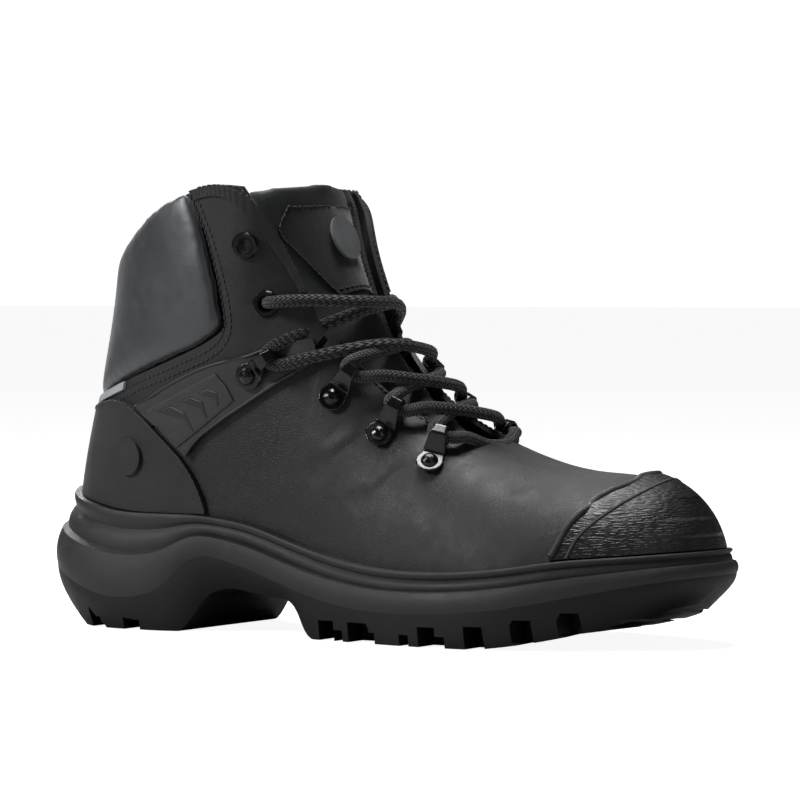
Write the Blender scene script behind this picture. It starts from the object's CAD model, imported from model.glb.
"""Steel toe work boot: black greasy leather ankle boot with a moulded heel lock and a PU sole.

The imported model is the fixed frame. This script dresses its pieces, rebuilds the padded ones,
sews the seams, threads the lace and sets the studio.
"""

import logging
import math
from dataclasses import dataclass
from enum import Enum

import bmesh
import bpy
from mathutils import Matrix, Vector
from mathutils.bvhtree import BVHTree

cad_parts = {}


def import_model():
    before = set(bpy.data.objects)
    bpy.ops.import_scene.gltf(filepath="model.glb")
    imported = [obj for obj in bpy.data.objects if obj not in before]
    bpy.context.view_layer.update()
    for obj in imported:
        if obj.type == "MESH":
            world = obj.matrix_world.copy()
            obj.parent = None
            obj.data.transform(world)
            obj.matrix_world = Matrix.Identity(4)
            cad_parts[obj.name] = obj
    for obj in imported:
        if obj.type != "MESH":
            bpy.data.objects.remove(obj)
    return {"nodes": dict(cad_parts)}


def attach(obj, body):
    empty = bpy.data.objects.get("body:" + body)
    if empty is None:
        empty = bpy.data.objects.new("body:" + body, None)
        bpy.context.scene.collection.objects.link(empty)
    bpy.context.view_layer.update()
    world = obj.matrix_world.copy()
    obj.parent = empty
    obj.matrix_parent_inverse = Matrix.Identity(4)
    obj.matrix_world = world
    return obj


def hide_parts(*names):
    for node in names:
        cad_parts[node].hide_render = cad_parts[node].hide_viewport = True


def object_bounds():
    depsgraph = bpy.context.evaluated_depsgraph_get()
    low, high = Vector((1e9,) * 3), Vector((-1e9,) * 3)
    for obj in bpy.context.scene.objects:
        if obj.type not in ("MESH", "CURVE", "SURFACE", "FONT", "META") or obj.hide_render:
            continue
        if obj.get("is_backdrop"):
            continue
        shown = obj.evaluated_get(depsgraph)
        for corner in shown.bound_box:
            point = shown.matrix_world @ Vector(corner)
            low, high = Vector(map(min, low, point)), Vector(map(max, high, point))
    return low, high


log = logging.getLogger("boot")

Colour = tuple[float, float, float]
Point = tuple[float, float, float]
Socket = bpy.types.NodeSocket
Tree = bpy.types.NodeTree
Outline = tuple[tuple[float, float], ...] | list[tuple[float, float]]

MM = 0.001


# ---------------------------------------------------------------- shader helpers

def put(tree: Tree, kind: str, inputs: dict | None = None, **settings: object) -> bpy.types.Node:
    """Add a shader node, set it up and wire it.

    Args:
        tree: the node tree that takes the node.
        kind: the node's type without its ShaderNode prefix.
        inputs: sockets by name or number, each given a value or another node's output.
        settings: the node's own properties.

    Returns:
        The new node.
    """
    node = tree.nodes.new("ShaderNode" + kind)
    for name, value in settings.items():
        setattr(node, name, value)
    for key, value in (inputs or {}).items():
        if isinstance(value, Socket):
            tree.links.new(value, node.inputs[key])
        else:
            node.inputs[key].default_value = value
    return node


def calc(tree: Tree, operation: str, *values: object) -> Socket:
    """Add a Math node and return its output."""
    return put(tree, "Math", dict(enumerate(values)), operation=operation).outputs[0]


def vcalc(tree: Tree, operation: str, *values: object) -> Socket:
    """Add a Vector Math node and return its vector, or its value where it has one."""
    node = put(tree, "VectorMath", dict(enumerate(values)), operation=operation)
    scalar = operation in {"DOT_PRODUCT", "LENGTH", "DISTANCE"}
    return node.outputs["Value" if scalar else "Vector"]


def blend(tree: Tree, factor: object, a: object, b: object) -> Socket:
    """Mix two colours and return the result."""
    node = put(tree, "Mix", {"Factor": factor}, data_type="RGBA")
    for number, value in ((6, a), (7, b)):
        if isinstance(value, Socket):
            tree.links.new(value, node.inputs[number])
        else:
            node.inputs[number].default_value = (*value, 1.0)
    return node.outputs[2]


def ramp(tree: Tree, value: object, low: object, high: object) -> Socket:
    """Map a value smoothly from low..high to 0..1."""
    return put(tree, "MapRange", {"Value": value, 1: low, 2: high},
               interpolation_type="SMOOTHSTEP").outputs[0]


class Group:
    """A shared shader node group, built once and placed in any material."""

    def __init__(self, name: str, inputs: dict[str, object], outputs: tuple[str, ...]) -> None:
        """Open a group with named float or vector inputs and float outputs."""
        self.tree = bpy.data.node_groups.new(name, "ShaderNodeTree")
        for key, value in inputs.items():
            kind = "NodeSocketFloat" if isinstance(value, float) else "NodeSocketVector"
            socket = self.tree.interface.new_socket(key, in_out="INPUT", socket_type=kind)
            socket.default_value = value
        for key in outputs:
            self.tree.interface.new_socket(key, in_out="OUTPUT", socket_type="NodeSocketFloat")
        self.inp = self.tree.nodes.new("NodeGroupInput").outputs
        self.out = self.tree.nodes.new("NodeGroupOutput").inputs

    def give(self, key: str, socket: Socket) -> None:
        """Wire a result to one of the group's outputs."""
        self.tree.links.new(socket, self.out[key])

    def place(self, tree: Tree, **inputs: object) -> bpy.types.Node:
        """Put the group in a material's tree with its own values."""
        node = put(tree, "Group", node_tree=self.tree)
        for key, value in inputs.items():
            if isinstance(value, Socket):
                tree.links.new(value, node.inputs[key])
            else:
                node.inputs[key].default_value = value
        return node


def mottle_group() -> Group:
    """Cloudy colour change at two sizes, with rare rubbed patches."""
    g = Group("mottle", {"Vector": (0.0, 0.0, 0.0), "Scale": 14.0}, ("Tone", "Rub"))
    t, i = g.tree, g.inp
    wide = put(t, "TexNoise", {"Vector": i["Vector"], "Scale": i["Scale"], "Detail": 4.0,
                               "Roughness": 0.6}).outputs[0]
    fine = put(t, "TexNoise", {"Vector": i["Vector"], "Detail": 5.0, "Roughness": 0.7,
                               "Scale": calc(t, "MULTIPLY", i["Scale"], 9.0)}).outputs[0]
    both = calc(t, "ADD", calc(t, "MULTIPLY", wide, 0.62), calc(t, "MULTIPLY", fine, 0.38))
    g.give("Tone", ramp(t, both, 0.34, 0.66))
    patch = put(t, "TexNoise", {"Vector": i["Vector"], "Detail": 6.0, "Roughness": 0.75,
                                "Scale": calc(t, "MULTIPLY", i["Scale"], 2.7)}).outputs[0]
    g.give("Rub", ramp(t, patch, 0.56, 0.72))
    return g


def leather_group() -> Group:
    """Grain of full leather: small cells parted by fine creases, over soft waves."""
    g = Group("leather_grain", {"Vector": (0.0, 0.0, 0.0), "Scale": 900.0}, ("Height",))
    t, i = g.tree, g.inp
    warp = put(t, "TexNoise", {"Vector": i["Vector"], "Scale": 160.0, "Detail": 2.0}).outputs[1]
    where = vcalc(t, "ADD", i["Vector"], vcalc(t, "MULTIPLY", warp, (0.0012, 0.0012, 0.0012)))
    cell = put(t, "TexVoronoi", {"Vector": where, "Scale": i["Scale"]},
               feature="DISTANCE_TO_EDGE").outputs[0]
    pore = put(t, "TexNoise", {"Vector": i["Vector"], "Detail": 6.0, "Roughness": 0.65,
                               "Scale": calc(t, "MULTIPLY", i["Scale"], 0.55)}).outputs[0]
    g.give("Height", calc(t, "ADD", calc(t, "MULTIPLY", ramp(t, cell, 0.0, 0.16), 0.45),
                          calc(t, "MULTIPLY", pore, 0.55)))
    return g


def pebble_group() -> Group:
    """Moulded wood-grain and pebble field of rough rubber."""
    g = Group("pebble", {"Vector": (0.0, 0.0, 0.0), "Scale": 420.0}, ("Height",))
    t, i = g.tree, g.inp
    drawn = vcalc(t, "MULTIPLY", i["Vector"], (0.32, 0.45, 1.9))
    cell = put(t, "TexVoronoi", {"Vector": drawn, "Scale": i["Scale"], "Randomness": 0.9},
               feature="DISTANCE_TO_EDGE").outputs[0]
    rough = put(t, "TexNoise", {"Vector": drawn, "Scale": calc(t, "MULTIPLY", i["Scale"], 1.8),
                                "Detail": 5.0, "Roughness": 0.7}).outputs[0]
    g.give("Height", calc(t, "ADD", calc(t, "MULTIPLY", ramp(t, cell, 0.02, 0.30), 0.6),
                          calc(t, "MULTIPLY", rough, 0.4)))
    return g


def weave_group() -> Group:
    """Close knit or tape: two crossed waves a thread apart."""
    g = Group("weave", {"Vector": (0.0, 0.0, 0.0), "Pitch": 0.0011}, ("Height",))
    t, i = g.tree, g.inp
    axes = put(t, "SeparateXYZ", {0: vcalc(t, "MULTIPLY", i["Vector"], (6.2832,) * 3)}).outputs
    waves = [calc(t, "SINE", calc(t, "DIVIDE", calc(t, "ADD", axes[a], axes[b]), i["Pitch"]))
             for a, b in ((0, 2), (2, 1))]
    g.give("Height", calc(t, "MULTIPLY_ADD", calc(t, "MULTIPLY", waves[0], waves[1]), 0.5, 0.5))
    return g


def crease_group() -> Group:
    """One soft ridge or groove along the straight line from Start to End."""
    g = Group("crease", {"Vector": (0.0, 0.0, 0.0), "Start": (0.0, 0.0, 0.0),
                         "End": (1.0, 0.0, 0.0), "Width": 0.004}, ("Height",))
    t, i = g.tree, g.inp
    line = vcalc(t, "SUBTRACT", i["End"], i["Start"])
    away = vcalc(t, "SUBTRACT", i["Vector"], i["Start"])
    along = calc(t, "DIVIDE", vcalc(t, "DOT_PRODUCT", away, line),
                 vcalc(t, "DOT_PRODUCT", line, line))
    clamp = put(t, "Clamp", {0: along}).outputs[0]
    foot = put(t, "VectorMath", {0: line, "Scale": clamp}, operation="SCALE").outputs[0]
    gap = vcalc(t, "DISTANCE", away, foot)
    taper = calc(t, "MULTIPLY", ramp(t, along, -0.05, 0.35), ramp(t, along, 1.05, 0.6))
    g.give("Height", calc(t, "MULTIPLY", ramp(t, gap, i["Width"], 0.0), taper))
    return g


def braid_group() -> Group:
    """Round braid: strands cross over and under on both diagonals of the cord's own map."""
    g = Group("braid", {"UV": (0.0, 0.0, 0.0), "Along": 400.0, "Around": 10.0},
              ("Height", "Strand"))
    t, i = g.tree, g.inp
    axes = put(t, "SeparateXYZ", {0: i["UV"]}).outputs
    a = calc(t, "MULTIPLY", axes[0], i["Along"])
    b = calc(t, "MULTIPLY", axes[1], i["Around"])
    bulges, cells = [], []
    for operation in ("ADD", "SUBTRACT"):
        way = calc(t, operation, a, b)
        bulges.append(calc(t, "SINE", calc(t, "MULTIPLY", calc(t, "FRACT", way), math.pi)))
        cells.append(calc(t, "FLOOR", way))
    over = calc(t, "FLOORED_MODULO", calc(t, "ADD", cells[0], cells[1]), 2.0)
    under = calc(t, "SUBTRACT", 1.0, over)
    raised = calc(t, "ADD", calc(t, "MULTIPLY", bulges[0], over),
                  calc(t, "MULTIPLY", bulges[1], under))
    dip = calc(t, "MULTIPLY", calc(t, "MULTIPLY", bulges[0], bulges[1]), 0.35)
    g.give("Height", calc(t, "ADD", raised, dip))
    g.give("Strand", raised)
    return g


# ---------------------------------------------------------------- finishes

class Pattern(Enum):
    """What a finish's relief looks like."""

    LEATHER = "leather_grain"
    PEBBLE = "pebble"
    WEAVE = "weave"
    BRAID = "braid"


@dataclass(frozen=True)
class Crease:
    """A soft ridge pressed into a surface, from start to end, in millimetres."""

    start: Point
    end: Point
    width: float
    height: float


@dataclass(frozen=True)
class Finish:
    """One material: its two tones, gloss and relief."""

    name: str
    dark: Colour
    light: Colour
    rough: float
    span: float = 0.14
    pattern: Pattern = Pattern.LEATHER
    scale: float = 900.0
    depth: float = 0.10
    mottle: float = 14.0
    metallic: float = 0.0
    coat: float = 0.0
    sheen: float = 0.0
    specular: float = 0.5
    rub: float = 0.25
    ribs: float = 0.0
    creases: tuple[Crease, ...] = ()

    def material(self, groups: dict[str, Group]) -> bpy.types.Material:
        """Build the material's nodes.

        Args:
            groups: the shared node groups by name.

        Returns:
            The finished material.
        """
        mat = bpy.data.materials.new(self.name)
        mat.use_nodes = True
        tree = mat.node_tree
        shader = tree.nodes["Principled BSDF"]
        spots = put(tree, "TexCoord").outputs
        spot = spots["Object"]
        mottle = groups["mottle"].place(tree, Vector=spot, Scale=self.mottle).outputs
        tone, rub = mottle["Tone"], calc(tree, "MULTIPLY", mottle["Rub"], self.rub)
        colour = blend(tree, tone, self.dark, self.light)
        worn = tuple(min(1.0, c * 1.7 + 0.004) for c in self.light)
        colour = blend(tree, rub, colour, worn)
        if self.pattern is Pattern.BRAID:
            relief = groups["braid"].place(tree, UV=spots["UV"], Along=self.scale).outputs
            height = relief["Height"]
            shade = ramp(tree, relief["Strand"], 0.0, 0.75)
            colour = blend(tree, shade, tuple(c * 0.25 for c in self.dark), colour)
        elif self.pattern is Pattern.WEAVE:
            height = groups["weave"].place(tree, Vector=spot, Pitch=self.scale).outputs[0]
            colour = blend(tree, calc(tree, "MULTIPLY", height, 0.6), self.dark, colour)
        else:
            height = groups[self.pattern.value].place(tree, Vector=spot,
                                                      Scale=self.scale).outputs[0]
        rough = calc(tree, "ADD", self.rough - self.span / 2,
                     calc(tree, "MULTIPLY", tone, self.span))
        bump = put(tree, "Bump", {"Height": height, "Strength": 1.0,
                                  "Distance": self.depth * MM}).outputs[0]
        waves = put(tree, "TexNoise", {"Vector": spot, "Scale": 55.0, "Detail": 2.0}).outputs[0]
        bump = put(tree, "Bump", {"Height": waves, "Strength": 1.0, "Normal": bump,
                                  "Distance": 0.0007}).outputs[0]
        if self.ribs:
            bump = self.rib_relief(tree, spot, bump)
        for crease in self.creases:
            bump = self.crease_relief(tree, groups, spot, crease, bump)
        tree.links.new(colour, shader.inputs["Base Color"])
        tree.links.new(rough, shader.inputs["Roughness"])
        tree.links.new(bump, shader.inputs["Normal"])
        shader.inputs["Metallic"].default_value = self.metallic
        shader.inputs["Coat Weight"].default_value = self.coat
        shader.inputs["Coat Roughness"].default_value = 0.22
        shader.inputs["Sheen Weight"].default_value = self.sheen
        shader.inputs["Sheen Roughness"].default_value = 0.45
        shader.inputs["Specular IOR Level"].default_value = self.specular
        return mat

    def rib_relief(self, tree: Tree, spot: Socket, normal: Socket) -> Socket:
        """Horizontal bars across the toe, fading towards the sides."""
        x, y, z = put(tree, "SeparateXYZ", {0: spot}).outputs
        wave = calc(tree, "SINE", calc(tree, "MULTIPLY", z, math.tau / (self.ribs * MM)))
        front = ramp(tree, x, 0.236, 0.248)
        height = calc(tree, "MULTIPLY", ramp(tree, wave, -0.2, 0.5), front)
        return put(tree, "Bump", {"Height": height, "Strength": 1.0, "Distance": 0.0009,
                                  "Normal": normal}).outputs[0]

    def crease_relief(self, tree: Tree, groups: dict[str, Group], spot: Socket,
                      crease: Crease, normal: Socket) -> Socket:
        """Press one crease, mirrored on both sides of the boot."""
        x, y, z = put(tree, "SeparateXYZ", {0: spot}).outputs
        folded = put(tree, "CombineXYZ", {0: x, 1: calc(tree, "ABSOLUTE", y), 2: z}).outputs[0]
        height = groups["crease"].place(
            tree, Vector=folded, Start=tuple(Vector(crease.start) * MM),
            End=tuple(Vector(crease.end) * MM), Width=crease.width * MM).outputs[0]
        return put(tree, "Bump", {"Height": height, "Strength": 1.0, "Normal": normal,
                                  "Distance": crease.height * MM}).outputs[0]


class Wardrobe:
    """All the boot's finishes, made once and handed out by name."""

    FINISHES: tuple[Finish, ...] = (
        Finish("upper_leather", (0.0038, 0.0044, 0.0045), (0.0085, 0.0094, 0.0091), 0.52,
               span=0.20, scale=1150, depth=0.085, mottle=17, sheen=0.12, rub=0.35,
               specular=0.42, creases=(
                   Crease((96.6, 39.0, 72.6), (114.0, 32.6, 87.0), 5.0, 0.8),
                   Crease((117.7, 41.0, 58.8), (133.5, 34.0, 74.2), 5.0, 0.8),
                   Crease((90.0, 38.6, 62.0), (101.0, 37.6, 73.5), 8.0, -0.5),
                   Crease((112.0, 42.0, 52.0), (121.0, 41.0, 60.0), 8.0, -0.5))),
        Finish("quarter_leather", (0.0052, 0.0057, 0.0055), (0.0124, 0.0133, 0.0124), 0.56,
               span=0.18, scale=1150, depth=0.075, mottle=20, sheen=0.15, rub=0.35,
               specular=0.40),
        Finish("counter_leather", (0.0071, 0.0082, 0.0079), (0.0168, 0.0185, 0.0175), 0.58,
               span=0.16, scale=1250, depth=0.075, mottle=22, sheen=0.15, rub=0.3,
               specular=0.38),
        Finish("collar_leather", (0.0092, 0.0114, 0.0154), (0.0186, 0.0224, 0.0298), 0.40,
               span=0.10, scale=1500, depth=0.035, mottle=16, sheen=0.3, rub=0.05,
               specular=0.95),
        Finish("tongue_leather", (0.0081, 0.0090, 0.0102), (0.0174, 0.0192, 0.0217), 0.52,
               span=0.14, scale=1300, depth=0.060, mottle=18, sheen=0.12, rub=0.15),
        Finish("nubuck", (0.0030, 0.0030, 0.0032), (0.0062, 0.0063, 0.0063), 0.78,
               scale=2200, depth=0.08, mottle=45, sheen=0.35, rub=0.15, specular=0.3),
        Finish("moulded_band", (0.0158, 0.0165, 0.0177), (0.0228, 0.0237, 0.0250), 0.48,
               span=0.10, scale=2600, depth=0.030, mottle=24, rub=0.1),
        Finish("band_recess", (0.0065, 0.0068, 0.0073), (0.0096, 0.0100, 0.0107), 0.44,
               span=0.08, scale=2600, depth=0.025, mottle=24, rub=0.0),
        Finish("textile_lining", (0.0037, 0.0038, 0.0041), (0.0099, 0.0102, 0.0109), 0.85,
               pattern=Pattern.WEAVE, scale=0.0014, depth=0.22, mottle=30, sheen=0.4),
        Finish("midsole_pu", (0.0131, 0.0134, 0.0139), (0.0226, 0.0231, 0.0236), 0.50,
               span=0.16, scale=3200, depth=0.045, mottle=13, rub=0.3, specular=0.42),
        Finish("outsole_rubber", (0.0024, 0.0024, 0.0025), (0.0052, 0.0053, 0.0054), 0.55,
               span=0.18, scale=2200, depth=0.05, mottle=20, rub=0.35, specular=0.35),
        Finish("scuff_rubber", (0.0028, 0.0029, 0.0031), (0.0065, 0.0067, 0.0069), 0.44,
               span=0.18, pattern=Pattern.PEBBLE, scale=520, depth=0.16, mottle=26, rub=0.3,
               ribs=14.5),
        Finish("dark_metal", (0.0149, 0.0152, 0.0161), (0.0298, 0.0304, 0.0322), 0.20,
               span=0.10, scale=3000, depth=0.010, mottle=60, metallic=0.85, coat=0.35),
        Finish("steel", (0.30, 0.30, 0.31), (0.42, 0.42, 0.43), 0.34, scale=2400,
               depth=0.02, mottle=40, metallic=1.0),
        Finish("reflective_tape", (0.34, 0.36, 0.38), (0.52, 0.55, 0.57), 0.36,
               pattern=Pattern.WEAVE, scale=0.0009, depth=0.03, mottle=50, rub=0.1),
        Finish("binding_tape", (0.0031, 0.0032, 0.0035), (0.0081, 0.0083, 0.0088), 0.70,
               pattern=Pattern.WEAVE, scale=0.0022, depth=0.30, mottle=40, sheen=0.2),
        Finish("board", (0.16, 0.13, 0.10), (0.24, 0.20, 0.15), 0.82, scale=900,
               depth=0.08, mottle=30),
        Finish("footbed_cloth", (0.0062, 0.0062, 0.0068), (0.0149, 0.0149, 0.0161), 0.88,
               pattern=Pattern.WEAVE, scale=0.0016, depth=0.20, mottle=30, sheen=0.3),
        Finish("lace_cord", (0.0030, 0.0030, 0.0032), (0.0084, 0.0086, 0.0090), 0.62,
               span=0.10, pattern=Pattern.BRAID, scale=560, depth=0.6, mottle=60,
               sheen=0.25, specular=0.45),
        Finish("thread", (0.0037, 0.0038, 0.0040), (0.0093, 0.0095, 0.0098), 0.55,
               scale=4000, depth=0.03, mottle=90, sheen=0.2),
        Finish("emblem_grey", (0.1063, 0.1087, 0.1125), (0.1562, 0.1600, 0.1625), 0.46,
               span=0.10, scale=2600, depth=0.03, mottle=60),
        Finish("aglet_plastic", (0.0037, 0.0037, 0.0038), (0.0062, 0.0062, 0.0064), 0.24,
               span=0.06, scale=2400, depth=0.01, mottle=60, coat=0.5),
    )

    NODES: dict[str, str] = {
        "vamp": "upper_leather", "quarter_lateral": "quarter_leather",
        "quarter_medial": "quarter_leather", "heel_counter_panel": "counter_leather",
        "counter_mark_lateral": "counter_leather", "counter_mark_medial": "counter_leather",
        "heel_lock_band_lateral": "moulded_band", "heel_lock_band_medial": "moulded_band",
        "quarter_binding_lateral": "binding_tape", "quarter_binding_medial": "binding_tape",
        "collar_pad": "collar_leather", "lining": "textile_lining", "toe_cap": "steel",
        "toe_cap_edge_strip": "outsole_rubber", "heel_stiffener": "board",
        "scuff_cap": "scuff_rubber", "reflective_piping": "reflective_tape",
        "midsole": "midsole_pu", "outsole": "outsole_rubber", "penetration_plate": "board",
        "insole_board": "board", "footbed": "footbed_cloth", "tongue": "tongue_leather",
        "tongue_badge_panel": "nubuck", "tongue_badge_disc": "emblem_grey",
        "tongue_rib_lateral": "tongue_leather", "tongue_rib_medial": "tongue_leather",
        "lace_hooks": "dark_metal", "hook_rivets": "dark_metal", "eyelets": "dark_metal",
        "eyelet_washers": "dark_metal", "tongue_gusset_lateral": "textile_lining",
        "tongue_gusset_medial": "textile_lining", "lace": "lace_cord",
        "lace_aglet_lateral": "aglet_plastic", "lace_aglet_medial": "aglet_plastic",
    }

    def __init__(self) -> None:
        """Build the shared groups and every material."""
        groups = {g.tree.name: g for g in (mottle_group(), leather_group(), pebble_group(),
                                           weave_group(), crease_group(), braid_group())}
        self.materials = {f.name: f.material(groups) for f in self.FINISHES}

    def wear(self, piece: bpy.types.Object, name: str) -> None:
        """Give a piece one finish over all of its slots."""
        slots = piece.data.materials
        slots.clear()
        slots.append(self.materials[name])

    def dress_frame(self, nodes: dict[str, bpy.types.Object]) -> None:
        """Give every carried-over piece its finish."""
        for name, piece in nodes.items():
            material = self.materials[self.NODES[name]]
            if not piece.data.materials:
                piece.data.materials.append(material)
            for slot in piece.material_slots:
                slot.material = material
            log.info("dressed %s", name)


# ---------------------------------------------------------------- surfaces and lines

class Surface:
    """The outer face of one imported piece, for laying details on."""

    def __init__(self, *pieces: bpy.types.Object) -> None:
        """Index the faces of one or more pieces."""
        points, faces = [], []
        for piece in pieces:
            start = len(points)
            points += [v.co.copy() for v in piece.data.vertices]
            faces += [[start + i for i in p.vertices] for p in piece.data.polygons]
        self.tree = BVHTree.FromPolygons(points, faces)

    def lay(self, point: Vector, outward: Vector) -> tuple[Vector, Vector]:
        """Drop a point on the face that looks outward.

        Args:
            point: where the detail is wanted, in metres.
            outward: the way out of the boot there.

        Returns:
            The place on the face, and its normal.
        """
        hit, normal, _, _ = self.tree.ray_cast(point + outward * 0.015, -outward, 0.03)
        if hit is None:
            hit, normal, _, _ = self.tree.find_nearest(point + outward * 0.002)
        if normal.dot(outward) < 0:
            normal = -normal
        return hit, normal


def way_out(point: Vector) -> Vector:
    """The rough outward direction of the upper at a point."""
    core = Vector((min(max(point.x, 0.022), 0.20), 0.0, point.z - max(0.0, point.x - 0.10) * 0.6))
    return (point - core).normalized()


def smooth_line(points: list[Vector], step: float) -> list[Vector]:
    """Walk a smooth curve through the points at an even step.

    Args:
        points: the places that the line passes.
        step: distance between the returned places, in metres.

    Returns:
        Places along the line, ends included.
    """
    pts = [points[0] * 2 - points[1], *points, points[-1] * 2 - points[-2]]
    dense = []
    for p0, p1, p2, p3 in zip(pts, pts[1:], pts[2:], pts[3:]):
        for i in range(24):
            t = i / 24
            dense.append(0.5 * (2 * p1 + (p2 - p0) * t + (2 * p0 - 5 * p1 + 4 * p2 - p3) * t * t
                                + (3 * p1 - p0 - 3 * p2 + p3) * t ** 3))
    dense.append(points[-1])
    out, need = [dense[0]], step
    for a, b in zip(dense, dense[1:]):
        gap = (b - a).length
        while gap >= need > 0:
            a = a + (b - a) * (need / gap)
            gap -= need
            need = step
            out.append(a)
        need -= gap
    return out


def finish_piece(bm: bmesh.types.BMesh, name: str, smooth: bool = True) -> bpy.types.Object:
    """Turn a bmesh into a linked object at the origin."""
    mesh = bpy.data.meshes.new(name)
    bm.to_mesh(mesh)
    bm.free()
    if smooth:
        mesh.shade_smooth()
    piece = bpy.data.objects.new(name, mesh)
    bpy.context.collection.objects.link(piece)
    return piece


def settle(piece: bpy.types.Object) -> None:
    """Apply all modifiers to the mesh."""
    shape = piece.evaluated_get(bpy.context.evaluated_depsgraph_get())
    mesh = bpy.data.meshes.new_from_object(shape)
    piece.modifiers.clear()
    piece.data = mesh


def remeshed_copy(source: bpy.types.Object, name: str, voxel: float,
                  merge: float) -> bpy.types.Object:
    """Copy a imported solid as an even, closed mesh.

    Args:
        source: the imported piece.
        name: the new piece's name.
        voxel: size of the new mesh's cells, in millimetres.
        merge: how near points have to be to become one, in millimetres.

    Returns:
        The new piece.
    """
    bm = bmesh.new()
    bm.from_mesh(source.data)
    bmesh.ops.remove_doubles(bm, verts=bm.verts, dist=merge * MM)
    piece = finish_piece(bm, name)
    grid = piece.modifiers.new("grid", "REMESH")
    grid.mode, grid.voxel_size = "VOXEL", voxel * MM
    settle(piece)
    return piece


def relax_mesh(piece: bpy.types.Object, rounds: int) -> None:
    """Smooth a mesh's points a number of times, and shade it smooth."""
    bm = bmesh.new()
    bm.from_mesh(piece.data)
    for _ in range(rounds):
        bmesh.ops.smooth_vert(bm, verts=bm.verts, factor=0.5, use_axis_x=True,
                              use_axis_y=True, use_axis_z=True)
    bm.to_mesh(piece.data)
    bm.free()
    piece.data.shade_smooth()


# ---------------------------------------------------------------- seams

@dataclass(frozen=True)
class Seam:
    """Rows of stitches along one line, in millimetres.

    The line is given for the lateral side. It is mirrored where the seam has two sides.
    """

    line: tuple[Point, ...]
    offsets: tuple[float, ...]
    nodes: tuple[str, ...]
    pitch: float = 2.7
    gauge: float = 0.42
    mirrored: bool = True
    tongue: bool = False


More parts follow.
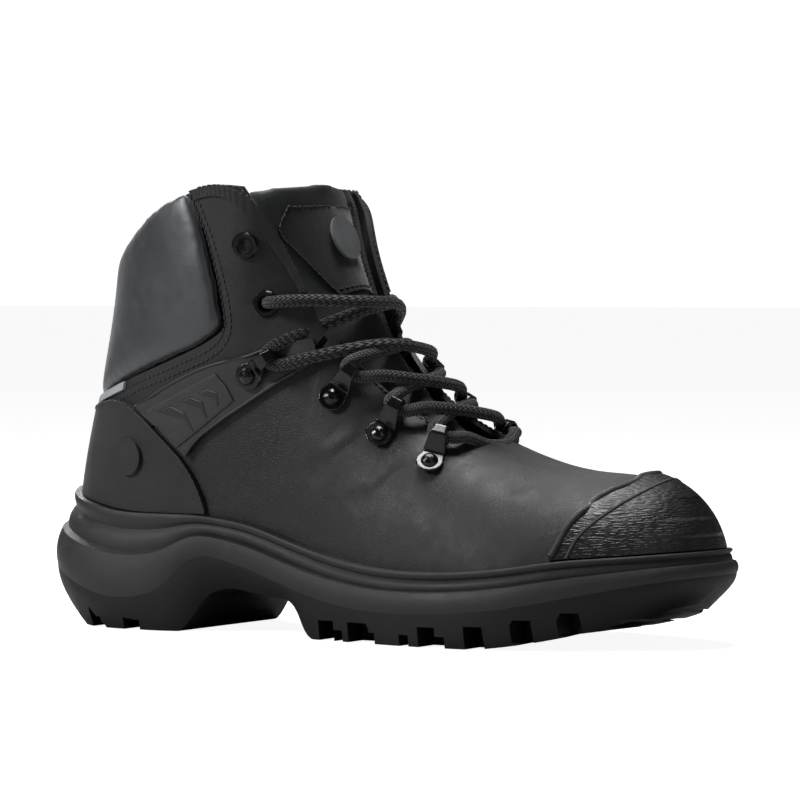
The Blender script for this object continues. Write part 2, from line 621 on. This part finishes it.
class SeamWork:
    """Sews all the visible seams, one piece of stitching for each group of seams."""

    COLLAR = ((34.5, -44.6, 176.8), (38.9, -44.7, 167.3), (43.6, -44.7, 155.5),
              (47.6, -44.2, 141.3), (49.6, -43.4, 129.6), (48.6, -42.8, 122.0),
              (41.2, -42.0, 116.9), (30.8, -40.8, 113.0), (18.7, -38.9, 108.7),
              (6.5, -36.0, 104.8), (-6.8, -30.7, 100.2), (-21.8, -20.6, 94.8),
              (-28.6, -6.0, 92.0))
    FRONT = ((42.0, -45.5, 177.2), (49.2, -46.4, 177.9), (55.3, -46.7, 176.4),
             (60.6, -45.7, 172.6), (65.6, -43.8, 166.7), (69.6, -40.9, 160.0),
             (74.0, -37.7, 152.5), (80.9, -34.3, 140.7), (86.0, -32.8, 131.6))
    BAND_TOP = ((6.4, -38.3, 91.4), (18.4, -40.6, 97.4), (31.3, -42.3, 103.2),
                (44.6, -43.5, 108.2), (57.5, -43.5, 111.3), (68.4, -42.1, 115.1),
                (77.6, -40.4, 118.8), (84.8, -38.3, 119.7))
    BAND_LOW = ((31.8, -40.1, 71.7), (35.9, -40.6, 76.2), (42.0, -41.1, 81.1),
                (50.9, -41.6, 86.9), (60.7, -41.6, 92.7), (69.6, -41.4, 98.0),
                (78.4, -40.7, 103.3), (85.6, -39.4, 107.0))
    COUNTER = ((39.0, -38.6, 52.5), (37.7, -38.9, 55.6), (34.3, -39.4, 62.4),
               (28.9, -39.9, 70.2), (20.9, -40.0, 77.8), (11.1, -39.2, 85.5),
               (0.2, -36.5, 91.5), (-11.2, -31.3, 93.1), (-21.9, -24.4, 91.3),
               (-29.5, -13.2, 88.8), (-32.2, -1.0, 87.6))
    FACING = ((157.0, -8.8, 78.1), (155.2, -12.4, 78.2), (151.6, -15.9, 78.9),
              (146.6, -18.6, 80.3), (139.6, -20.3, 83.7), (129.8, -21.8, 88.7),
              (118.1, -24.5, 96.4), (108.0, -27.5, 105.0))
    BADGE = ((89.7, -13.1, 137.2), (77.6, -23.7, 150.2), (71.0, -29.0, 161.4),
             (71.5, -24.2, 172.9), (76.2, -11.3, 173.5), (77.8, -0.1, 171.6))
    BADGE_FOOT = ((89.7, -13.1, 137.2), (91.5, 0.0, 138.0), (89.7, 13.1, 137.2))

    def __init__(self) -> None:
        """List the seams, by the piece of stitching that they make."""
        quarters = ("quarter_lateral", "quarter_medial")
        bands = ("heel_lock_band_lateral", "heel_lock_band_medial")
        self.groups: dict[str, list[Seam]] = {
            "quarter_stitching": [Seam(self.COLLAR, (3.2, 6.4), quarters),
                                  Seam(self.FRONT, (4.6, 7.6), quarters)],
            "band_stitching": [
                Seam(self.BAND_TOP, (2.4, 4.2), bands, pitch=1.7, gauge=0.30),
                Seam(self.BAND_LOW, (-2.4, -4.2), bands, pitch=1.7, gauge=0.30)],
            "counter_stitching": [Seam(self.COUNTER, (-1.8, -4.6), ("heel_counter_panel",))],
            "vamp_stitching": [Seam(self.FACING, (-1.4, -4.2), ("vamp",))],
            "badge_stitching": [Seam(self.BADGE, (2.2,), ("tongue_badge_panel",),
                                     tongue=True),
                                Seam(self.BADGE_FOOT, (2.2,), ("tongue_badge_panel",),
                                     mirrored=False, tongue=True)],
        }

    @staticmethod
    def stitch_shape(pitch: float, gauge: float) -> bpy.types.Mesh:
        """One plump stitch lying along X."""
        bm = bmesh.new()
        bmesh.ops.create_uvsphere(bm, u_segments=6, v_segments=4, radius=1.0)
        bmesh.ops.rotate(bm, matrix=Matrix.Rotation(math.pi / 2, 3, "Y"), verts=bm.verts)
        bmesh.ops.scale(bm, vec=(pitch * 0.43 * MM, gauge * 1.15 * MM, gauge * MM),
                        verts=bm.verts)
        mesh = bpy.data.meshes.new("stitch")
        bm.to_mesh(mesh)
        bm.free()
        return mesh

    @staticmethod
    def outward(seam: Seam, spot: Vector) -> Vector:
        """The way out of the surface that a seam lies on."""
        return Vector((0.8, 0.0, 0.6)) if seam.tongue else way_out(spot)

    def sew(self, bm: bmesh.types.BMesh, seam: Seam, flip: float,
            nodes: dict[str, bpy.types.Object]) -> int:
        """Add one side of a seam to the stitching.

        Args:
            bm: the stitching so far.
            seam: the seam to sew.
            flip: 1 for the lateral side, -1 for the medial side.
            nodes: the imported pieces.

        Returns:
            How many stitches were sewn.
        """
        face = Surface(*(nodes[n] for n in seam.nodes))
        shape = self.stitch_shape(seam.pitch, seam.gauge)
        guide = [Vector((x, y * flip, z)) * MM for x, y, z in seam.line]
        line = smooth_line(guide, 4.0 * MM)
        count = 0
        for offset in seam.offsets:
            row = []
            for k, spot in enumerate(line):
                ahead = line[min(k + 1, len(line) - 1)] - line[max(k - 1, 0)]
                side = self.outward(seam, spot).cross(ahead).normalized() * flip
                row.append(spot + side * offset * MM)
            places = smooth_line(row, seam.pitch * MM)
            for here, there in zip(places, places[1:]):
                spot, normal = face.lay((here + there) / 2, self.outward(seam, here))
                along = (there - here).normalized()
                side = normal.cross(along).normalized()
                along = side.cross(normal)
                turn = Matrix((along, side, normal)).transposed().to_4x4()
                lift = Matrix.Translation(spot + normal * seam.gauge * 0.25 * MM)
                start = len(bm.verts)
                bm.from_mesh(shape)
                bm.verts.ensure_lookup_table()
                bmesh.ops.transform(bm, matrix=lift @ turn, verts=bm.verts[start:])
                count += 1
        return count

    def build(self, nodes: dict[str, bpy.types.Object], wardrobe: Wardrobe) -> None:
        """Sew every group and set it on its body."""
        for name, seams in self.groups.items():
            bm = bmesh.new()
            count = 0
            for seam in seams:
                for flip in (1.0, -1.0) if seam.mirrored else (1.0,):
                    count += self.sew(bm, seam, flip, nodes)
            piece = finish_piece(bm, name)
            wardrobe.wear(piece, "thread")
            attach(piece, "tongue" if seams[0].tongue else "root")
            log.info("%s: %d stitches", name, count)


# ---------------------------------------------------------------- heel lock band

@dataclass
class HeelLockBand:
    """Moulded side band: a framed panel with three sunk chevrons."""

    corners: tuple[Point, ...] = ((7.4, -38.9, 88.9), (49.8, -43.9, 106.8),
                                  (58.6, -42.3, 94.6), (27.9, -40.5, 73.1))
    lift: float = 0.55
    chevrons: tuple[float, ...] = (0.36, 0.60, 0.80)
    outline: tuple[tuple[float, float], ...] = (
        (0.02, 0.06), (0.30, 0.05), (0.62, 0.05), (0.97, 0.06), (0.995, 0.50),
        (0.97, 0.94), (0.62, 0.95), (0.30, 0.95), (0.02, 0.94), (0.01, 0.5))

    def spot(self, s: float, t: float, flip: float) -> Vector:
        """A place on the panel: s from rear to front, t from top to bottom."""
        a, b, c, d = (Vector(p) for p in self.corners)
        top, low = a.lerp(b, s), d.lerp(c, s)
        place = top.lerp(low, t) * MM
        return Vector((place.x, place.y * flip, place.z))

    def plate(self, outline: Outline, flip: float, face: Surface,
              lift: float, thick: float) -> bmesh.types.BMesh:
        """A thin moulded plate with a rounded rim, laid on the band.

        Args:
            outline: its corners on the panel.
            flip: 1 for the lateral side, -1 for the medial side.
            face: the band's outer face.
            lift: height of its top over the band, in millimetres.
            thick: how deep it reaches below its top.

        Returns:
            The plate.
        """
        bm = bmesh.new()
        flat = [bm.verts.new((s, t, 0.0)) for s, t in outline]
        sheet = bm.faces.new(flat)
        bmesh.ops.triangulate(bm, faces=[sheet])
        bmesh.ops.subdivide_edges(bm, edges=bm.edges, cuts=5, use_grid_fill=True)
        bmesh.ops.triangulate(bm, faces=bm.faces)
        for vert in bm.verts:
            spot = self.spot(vert.co.x, vert.co.y, flip)
            place, normal = face.lay(spot, way_out(spot))
            vert.co = place + normal * lift * MM
        bmesh.ops.recalc_face_normals(bm, faces=bm.faces)
        out = way_out(bm.faces[:][0].calc_center_median())
        if bm.faces[:][0].normal.dot(out) < 0:
            bmesh.ops.reverse_faces(bm, faces=bm.faces)
        top = bmesh.ops.extrude_face_region(bm, geom=bm.faces[:])
        low = [v for v in top["geom"] if isinstance(v, bmesh.types.BMVert)]
        for vert in low:
            _, normal = face.lay(vert.co, way_out(vert.co))
            vert.co = vert.co - normal * thick * MM
        bmesh.ops.recalc_face_normals(bm, faces=bm.faces)
        return bm

    def build(self, nodes: dict[str, bpy.types.Object], wardrobe: Wardrobe) -> None:
        """Lay the frame strips and the chevrons on both bands."""
        for side, flip in (("lateral", 1.0), ("medial", -1.0)):
            face = Surface(nodes[f"heel_lock_band_{side}"])
            bm = self.plate(self.outline, flip, face, self.lift, self.lift + 0.4)
            piece = finish_piece(bm, f"band_field_{side}")
            rim = piece.modifiers.new("rim", "BEVEL")
            rim.width, rim.segments, rim.limit_method = 0.0003, 2, "ANGLE"
            wardrobe.wear(piece, "moulded_band")
            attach(piece, "root")
            for number, s in enumerate(self.chevrons):
                height = 0.36 - 0.05 * number
                low, high = 0.55 - height, 0.55 + height
                width = 0.15 - 0.02 * number
                outline = [(s - width, low), (s, low + 0.02), (s + 0.075, 0.52), (s, high),
                           (s - 0.02, high - 0.02), (s + 0.01, 0.60)]
                bm = self.plate(outline, flip, face, self.lift + 0.12, 0.5)
                piece = finish_piece(bm, f"chevron_{number + 1}_{side}")
                wardrobe.wear(piece, "band_recess")
                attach(piece, "root")
            log.info("heel lock band %s: panel and %d chevrons", side, len(self.chevrons))


# ---------------------------------------------------------------- padded pieces

@dataclass
class Padding:
    """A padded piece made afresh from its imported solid: remeshed, swollen and smoothed."""

    node: str
    body: str
    finish: str
    slot: str
    voxel: float
    pressure: float
    cap: float
    fill: float
    relax: int = 6
    levels: int = 1
    steps: int = 14

    def swell(self, piece: bpy.types.Object) -> None:
        """Blow the pad up gently as cloth, with every point's travel capped."""
        rest = [v.co.copy() for v in piece.data.vertices]
        scene = bpy.context.scene
        cloth = piece.modifiers.new("cloth", "CLOTH")
        cloth.settings.use_pressure = True
        cloth.settings.uniform_pressure_force = self.pressure
        cloth.settings.effector_weights.gravity = 0.0
        cloth.settings.quality = 4
        cloth.point_cache.frame_start, cloth.point_cache.frame_end = 1, self.steps
        for frame_number in range(1, self.steps + 1):
            scene.frame_set(frame_number)
        settle(piece)
        scene.frame_set(1)
        for vert, home in zip(piece.data.vertices, rest):
            travel = vert.co - home
            if travel.length > self.cap * MM:
                vert.co = home + travel.normalized() * self.cap * MM

    def build(self, nodes: dict[str, bpy.types.Object], wardrobe: Wardrobe) -> bpy.types.Object:
        """Make the pad, dress it and set it on its body."""
        piece = remeshed_copy(nodes[self.node], f"{self.node}_padded", self.voxel, 0.02)
        if self.pressure:
            self.swell(piece)
        relax_mesh(piece, self.relax)
        soft = piece.modifiers.new("soft", "SUBSURF")
        soft.levels = soft.render_levels = self.levels
        wardrobe.wear(piece, self.finish)
        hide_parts(self.node)
        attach(piece, self.body)
        log.info("%s: %d faces", piece.name, len(piece.data.polygons))
        return piece


@dataclass
class Piping:
    """A raised moulded or corded line laid along a surface."""

    name: str
    line: tuple[Point, ...]
    nodes: tuple[str, ...]
    finish: str
    radius: float
    sink: float = 0.3
    mirrored: bool = True

    def build(self, nodes: dict[str, bpy.types.Object], wardrobe: Wardrobe) -> None:
        """Lay the line on each side of the boot."""
        for side, flip in (("lateral", 1.0), ("medial", -1.0))[:2 if self.mirrored else 1]:
            face = Surface(*(nodes[n] for n in self.nodes))
            guide = [Vector((x, y * flip, z)) * MM for x, y, z in self.line]
            curve = bpy.data.curves.new(f"{self.name}_{side}", "CURVE")
            curve.dimensions = "3D"
            places = smooth_line(guide, 4.0 * MM)
            spline = curve.splines.new("NURBS")
            spline.points.add(len(places) - 1)
            for point, place in zip(spline.points, places):
                spot, normal = face.lay(place, way_out(place))
                point.co = (*(spot - normal * self.radius * self.sink * MM), 1.0)
            spline.order_u = 3
            spline.use_endpoint_u = True
            curve.bevel_depth, curve.bevel_resolution = self.radius * MM, 3
            curve.resolution_u, curve.use_fill_caps = 6, True
            piece = bpy.data.objects.new(f"{self.name}_{side}", curve)
            bpy.context.collection.objects.link(piece)
            wardrobe.wear(piece, self.finish)
            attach(piece, "root")
        log.info("%s laid", self.name)


@dataclass
class CastMetal:
    """Small metal fittings with the soft edges of pressed and plated steel."""

    node: str
    voxel: float = 0.38
    relax: int = 3

    def build(self, nodes: dict[str, bpy.types.Object], wardrobe: Wardrobe) -> None:
        """Make the fittings afresh with rounded edges and set them on the boot."""
        piece = remeshed_copy(nodes[self.node], f"{self.node}_plated", self.voxel, 0.01)
        relax_mesh(piece, self.relax)
        wardrobe.wear(piece, "dark_metal")
        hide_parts(self.node)
        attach(piece, "root")
        log.info("%s: %d faces", piece.name, len(piece.data.polygons))


# ---------------------------------------------------------------- lace

@dataclass
class Lace:
    """The braided lace, on one smooth route through the eyelets and hooks."""

    radius: float = 0.0025
    route: tuple[Point, ...] = (
        (0.036, -0.029, 0.102), (0.0315, -0.028, 0.09), (0.0295, -0.027, 0.078),
        (0.0325, -0.0265, 0.07), (0.04, -0.0265, 0.0695), (0.048, -0.0275, 0.079),
        (0.0525, -0.0285, 0.092), (0.0555, -0.031, 0.106), (0.0585, -0.0312, 0.118),
        (0.0625, -0.03, 0.129), (0.067, -0.0295, 0.134), (0.07, -0.0375, 0.134),
        (0.076, -0.046, 0.1345), (0.0875, -0.0365, 0.1355), (0.103, -0.017, 0.1345),
        (0.103, 0.016, 0.1345), (0.0855, 0.036, 0.123), (0.0725, 0.0455, 0.1145),
        (0.0775, 0.0445, 0.108), (0.09, 0.0345, 0.1125), (0.1085, 0.0125, 0.1185),
        (0.111, -0.013, 0.115), (0.1075, -0.028, 0.1125), (0.103, -0.034, 0.109),
        (0.11, -0.0325, 0.104), (0.117, -0.027, 0.1055), (0.126, -0.014, 0.1035),
        (0.129, 0.013, 0.101), (0.1255, 0.024, 0.0985), (0.121, 0.0285, 0.0945),
        (0.1285, 0.027, 0.091), (0.1315, 0.022, 0.093), (0.133, 0.01, 0.092),
        (0.1375, -0.0105, 0.089), (0.141, -0.023, 0.0865), (0.141, -0.0285, 0.083),
        (0.1495, -0.0265, 0.0805), (0.1525, -0.0205, 0.0815), (0.155, -0.0075, 0.077),
        (0.155, 0.0095, 0.077), (0.152, 0.021, 0.082), (0.1495, 0.026, 0.081),
        (0.1405, 0.028, 0.083), (0.1435, 0.023, 0.087), (0.146, 0.0115, 0.089),
        (0.141, -0.0125, 0.092), (0.1345, -0.0235, 0.093), (0.1285, -0.028, 0.0905),
        (0.121, -0.0295, 0.0945), (0.123, -0.024, 0.098), (0.122, -0.0115, 0.101),
        (0.12, 0.011, 0.1035), (0.115, 0.025, 0.1055), (0.11, 0.031, 0.1045),
        (0.103, 0.033, 0.109), (0.1095, 0.0275, 0.1125), (0.116, 0.0145, 0.115),
        (0.1135, -0.016, 0.1185), (0.092, -0.0365, 0.113), (0.0775, -0.046, 0.108),
        (0.0725, -0.0465, 0.1145), (0.084, -0.036, 0.1215), (0.1, -0.0145, 0.131),
        (0.0985, 0.0135, 0.134), (0.086, 0.035, 0.1355), (0.076, 0.0455, 0.1345),
        (0.07, 0.037, 0.134), (0.0665, 0.027, 0.134), (0.0625, 0.027, 0.129),
        (0.0585, 0.0285, 0.1185), (0.0555, 0.0285, 0.106), (0.0525, 0.027, 0.092),
        (0.048, 0.026, 0.0795), (0.04, 0.025, 0.0695), (0.0325, 0.025, 0.07),
        (0.029, 0.0255, 0.078), (0.0315, 0.0265, 0.09), (0.036, 0.028, 0.102),
    )

    def build(self, wardrobe: Wardrobe) -> None:
        """Thread the lace and set it on the boot."""
        curve = bpy.data.curves.new("lace_braided", "CURVE")
        curve.dimensions = "3D"
        spline = curve.splines.new("NURBS")
        spline.points.add(len(self.route) - 1)
        for point, place in zip(spline.points, self.route):
            point.co = (*place, 1.0)
        spline.order_u = 3
        spline.use_endpoint_u = True
        curve.bevel_depth = self.radius
        curve.bevel_resolution = 4
        curve.resolution_u = 12
        curve.use_fill_caps = True
        piece = bpy.data.objects.new("lace_braided", curve)
        bpy.context.collection.objects.link(piece)
        wardrobe.wear(piece, "lace_cord")
        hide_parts("lace")
        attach(piece, "root")
        log.info("lace: %d route points", len(self.route))


# ---------------------------------------------------------------- studio

@dataclass
class Studio:
    """Pale floor, soft lights and the camera."""

    target: Point = (0.110, 0.0, 0.0947)
    azimuth: float = 30.5
    elevation: float = 1.5
    distance: float = 1.70
    lens: float = 188.4
    backdrop: float = 1.1
    ambient: float = 0.045
    floor_size: float = 30.0
    floor_tone: float = 0.45
    floor_glow: float = 0.92
    lights: tuple[tuple[str, Point, float, float], ...] = (
        ("key", (-0.85, -1.25, 0.95), 0.45, 21.0),
        ("fill", (1.45, -0.85, 0.60), 0.6, 1.6),
        ("top", (0.05, 0.10, 1.60), 0.6, 22.0),
        ("rim", (-0.90, 0.80, 0.90), 0.6, 12.0),
    )

    def build(self, floor_height: float) -> None:
        """Set the studio up.

        Args:
            floor_height: where the boot stands, in metres.
        """
        bm = bmesh.new()
        bmesh.ops.create_grid(bm, x_segments=2, y_segments=2, size=self.floor_size)
        bmesh.ops.translate(bm, vec=(0.0, 0.0, floor_height - 0.0003), verts=bm.verts)
        floor = finish_piece(bm, "floor", smooth=False)
        paper = bpy.data.materials.new("floor_paper")
        paper.use_nodes = True
        shader = paper.node_tree.nodes["Principled BSDF"]
        shader.inputs["Base Color"].default_value = (*(self.floor_tone,) * 3, 1.0)
        shader.inputs["Roughness"].default_value = 0.7
        shader.inputs["Emission Color"].default_value = (1.0, 1.0, 1.0, 1.0)
        seen = put(paper.node_tree, "LightPath").outputs["Is Camera Ray"]
        glow = calc(paper.node_tree, "MULTIPLY", seen, self.floor_glow)
        paper.node_tree.links.new(glow, shader.inputs["Emission Strength"])
        floor.data.materials.append(paper)
        floor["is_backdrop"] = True
        world = bpy.data.worlds.new("studio")
        bpy.context.scene.world = world
        bpy.context.scene.view_settings.view_transform = "Standard"
        world.use_nodes = True
        tree = world.node_tree
        seen = put(tree, "LightPath").outputs["Is Camera Ray"]
        strength = calc(tree, "MULTIPLY_ADD", seen, self.backdrop - self.ambient, self.ambient)
        tree.links.new(strength, tree.nodes["Background"].inputs[1])
        tree.nodes["Background"].inputs[0].default_value = (0.96, 0.98, 1.0, 1.0)
        for name, place, size, power in self.lights:
            lamp = bpy.data.lights.new(name, "AREA")
            lamp.shape, lamp.size, lamp.energy = "SQUARE", size, power
            holder = bpy.data.objects.new(name, lamp)
            holder.location = place
            aim = Vector(self.target) - Vector(place)
            holder.rotation_euler = aim.to_track_quat("-Z", "Y").to_euler()
            bpy.context.collection.objects.link(holder)
        self.set_camera()

    def set_camera(self) -> None:
        """Put the camera at its place and make it the scene's own."""
        a, e = math.radians(self.azimuth), math.radians(self.elevation)
        back = Vector((math.sin(a) * math.cos(e), -math.cos(a) * math.cos(e), math.sin(e)))
        data = bpy.data.cameras.new("camera")
        data.sensor_width, data.lens = 36.0, self.lens
        data.clip_start, data.clip_end = 0.1, 100.0
        camera = bpy.data.objects.new("camera", data)
        camera.location = Vector(self.target) + back * self.distance
        camera.rotation_mode = "QUATERNION"
        camera.rotation_quaternion = (-back).to_track_quat("-Z", "Y")
        bpy.context.collection.objects.link(camera)
        bpy.context.scene.camera = camera


CAP_LIP: tuple[Point, ...] = (
    (202.4, -44.5, 35.5), (203.4, -40.2, 41.8), (205.4, -36.7, 46.4), (209.3, -29.5, 52.9),
    (216.5, -17.1, 59.6), (221.2, -2.8, 64.0), (224.6, 4.1, 64.6), (221.2, 10.8, 64.0),
    (216.5, 24.6, 59.6), (209.3, 35.3, 52.9), (205.4, 41.2, 46.4), (203.4, 44.1, 41.8),
    (202.4, 47.0, 35.5))
CAP_LINE: tuple[Point, ...] = (
    (209.6, -42.5, 34.0), (211.4, -38.2, 41.3), (215.8, -32.0, 47.8), (222.6, -21.0, 54.4),
    (228.0, -9.5, 59.4), (230.6, 4.1, 61.4), (228.0, 17.5, 59.4), (222.6, 28.7, 54.4),
    (215.8, 38.0, 47.8), (211.4, 42.9, 41.3), (209.6, 46.8, 34.0))
BANDS = ("heel_lock_band_lateral", "heel_lock_band_medial")
PIPINGS = (
    Piping("cap_rim", CAP_LIP, ("scuff_cap",), "midsole_pu", 1.7, sink=0.5, mirrored=False),
    Piping("cap_line", CAP_LINE, ("scuff_cap",), "midsole_pu", 0.9, sink=0.45, mirrored=False),
    Piping("band_rail_top", SeamWork.BAND_TOP, BANDS, "moulded_band", 0.75),
    Piping("band_rail_low", SeamWork.BAND_LOW, BANDS, "moulded_band", 0.75),
)
PADS = (
    Padding("collar_pad", "root", "collar_leather", "collar_leather", 2.2, 3.0, 0.8, 0.85),
    Padding("tongue", "tongue", "tongue_leather", "tongue_leather", 1.6, 2.0, 0.4, 0.55,
            relax=4),
    Padding("footbed", "footbed", "footbed_cloth", "footbed_foam", 2.0, 0.0, 0.2, 0.4,
            relax=3, levels=0),
)


def main() -> None:
    """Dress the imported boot, build its soft pieces and details, and set the studio."""
    logging.basicConfig(level=logging.INFO, format="%(name)s: %(message)s")
    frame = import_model()
    low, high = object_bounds()
    studio = Studio()
    studio.build(low.z)
    wardrobe = Wardrobe()
    Lace().build(wardrobe)
    wardrobe.dress_frame(frame["nodes"])
    for pad in PADS:
        pad.build(frame["nodes"], wardrobe)
    CastMetal("lace_hooks").build(frame["nodes"], wardrobe)
    for piping in PIPINGS:
        piping.build(frame["nodes"], wardrobe)
    HeelLockBand().build(frame["nodes"], wardrobe)
    SeamWork().build(frame["nodes"], wardrobe)


if __name__ == "__main__":
    main()
